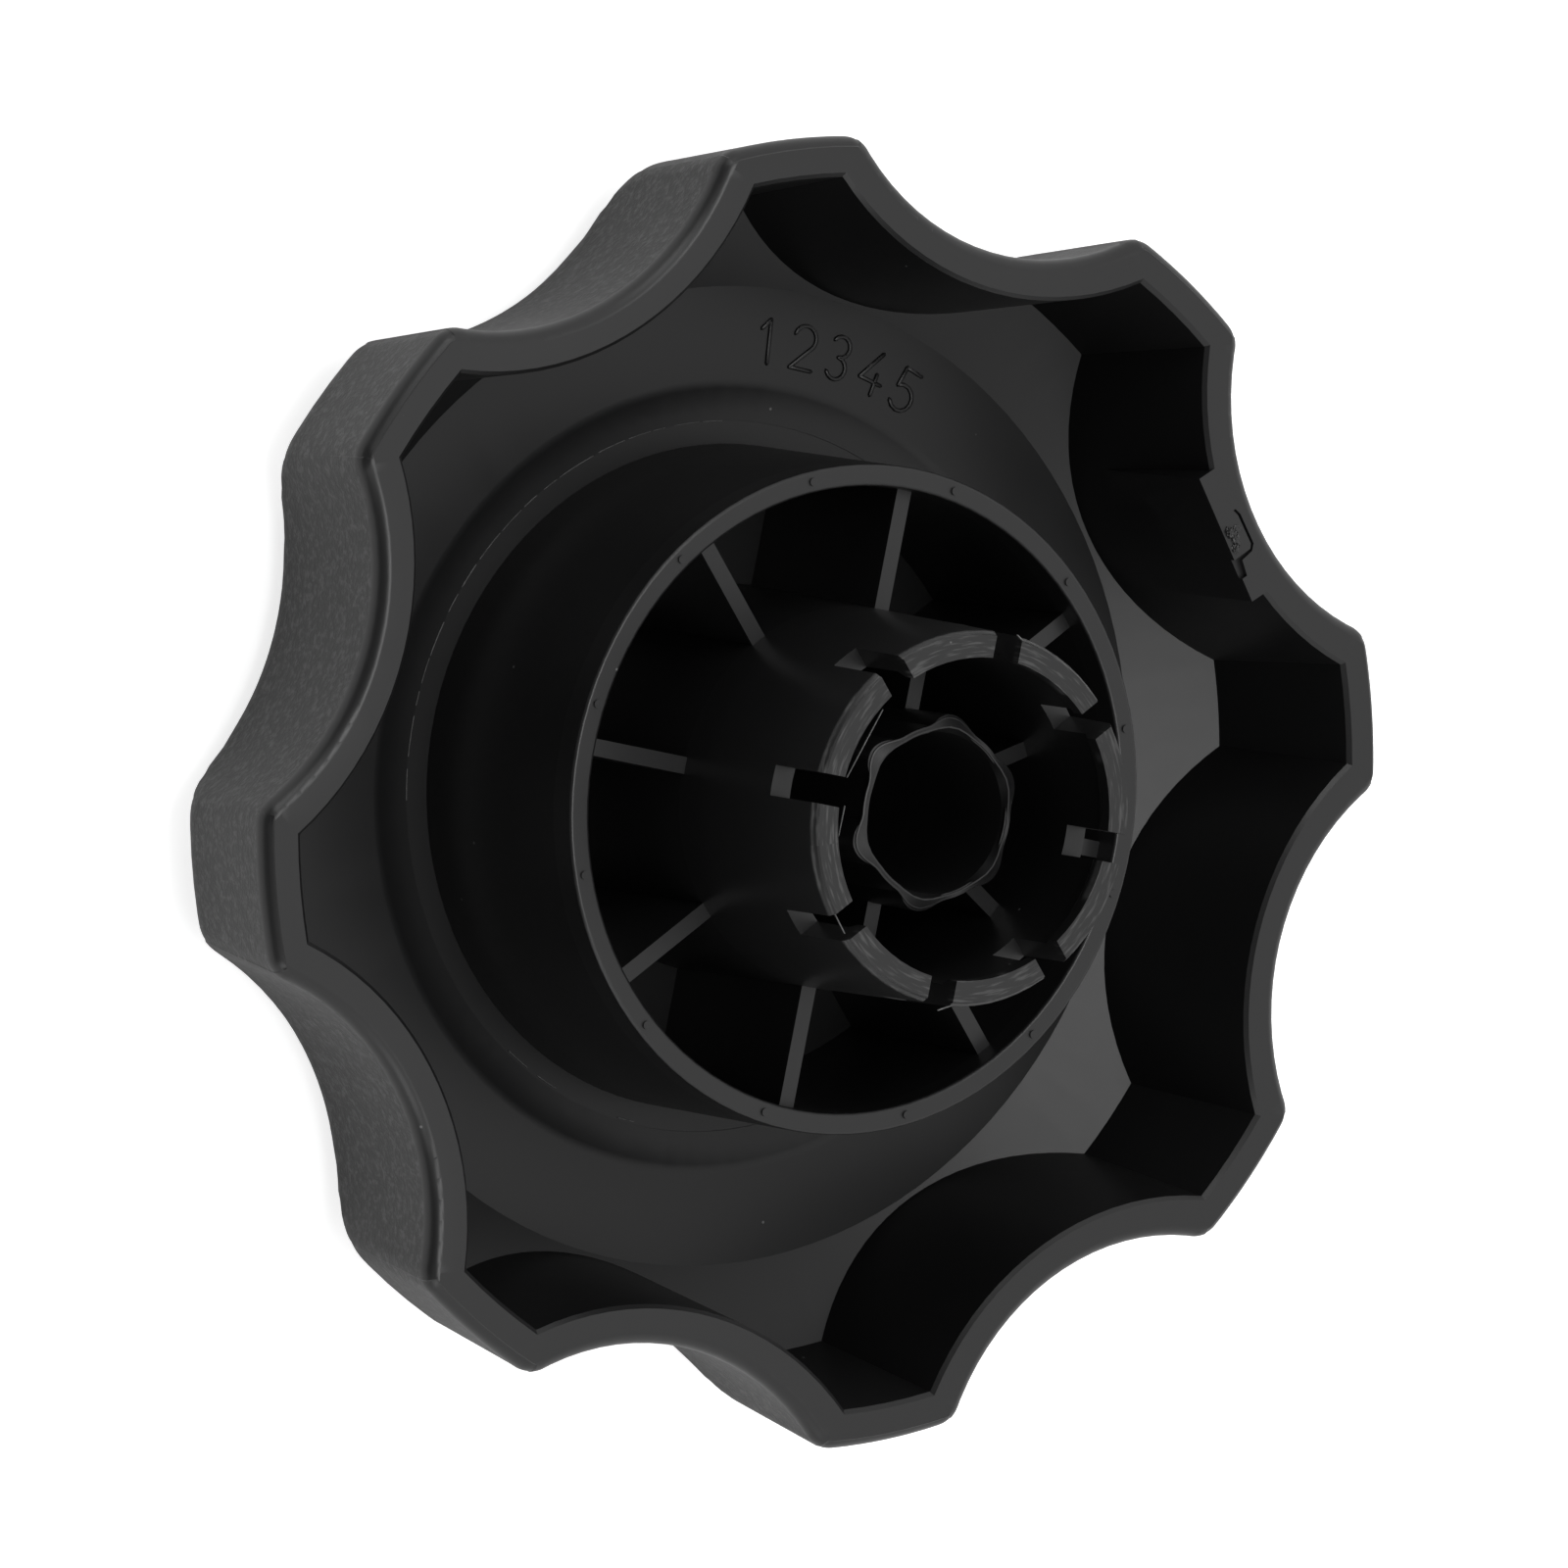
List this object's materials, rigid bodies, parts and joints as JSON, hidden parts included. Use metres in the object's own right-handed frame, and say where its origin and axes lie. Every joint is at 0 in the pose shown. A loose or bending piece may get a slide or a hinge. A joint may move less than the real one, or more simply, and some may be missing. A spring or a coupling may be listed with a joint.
{
  "type": "adjustment knob",
  "caption": "Round adjustment knob with a scalloped skirt, open at the back, with a ribbed collar round a hub of snap fingers and a central bored tube.",
  "frame": {"origin": "centre of the flat front face, which the knob rests on", "axes": "+Z along the turning axis out of the open back, +Y towards the middle of one lobe, +X towards the middle of another lobe"},
  "size_m": [0.0898, 0.0898, 0.0345],
  "materials": {
    "knob": "black moulded plastic, fine grained texture on the outside of the skirt, smooth with a soft gloss inside"
  },
  "bodies": {
    "root": {"knob": "knob"}
  },
  "joints": []
}
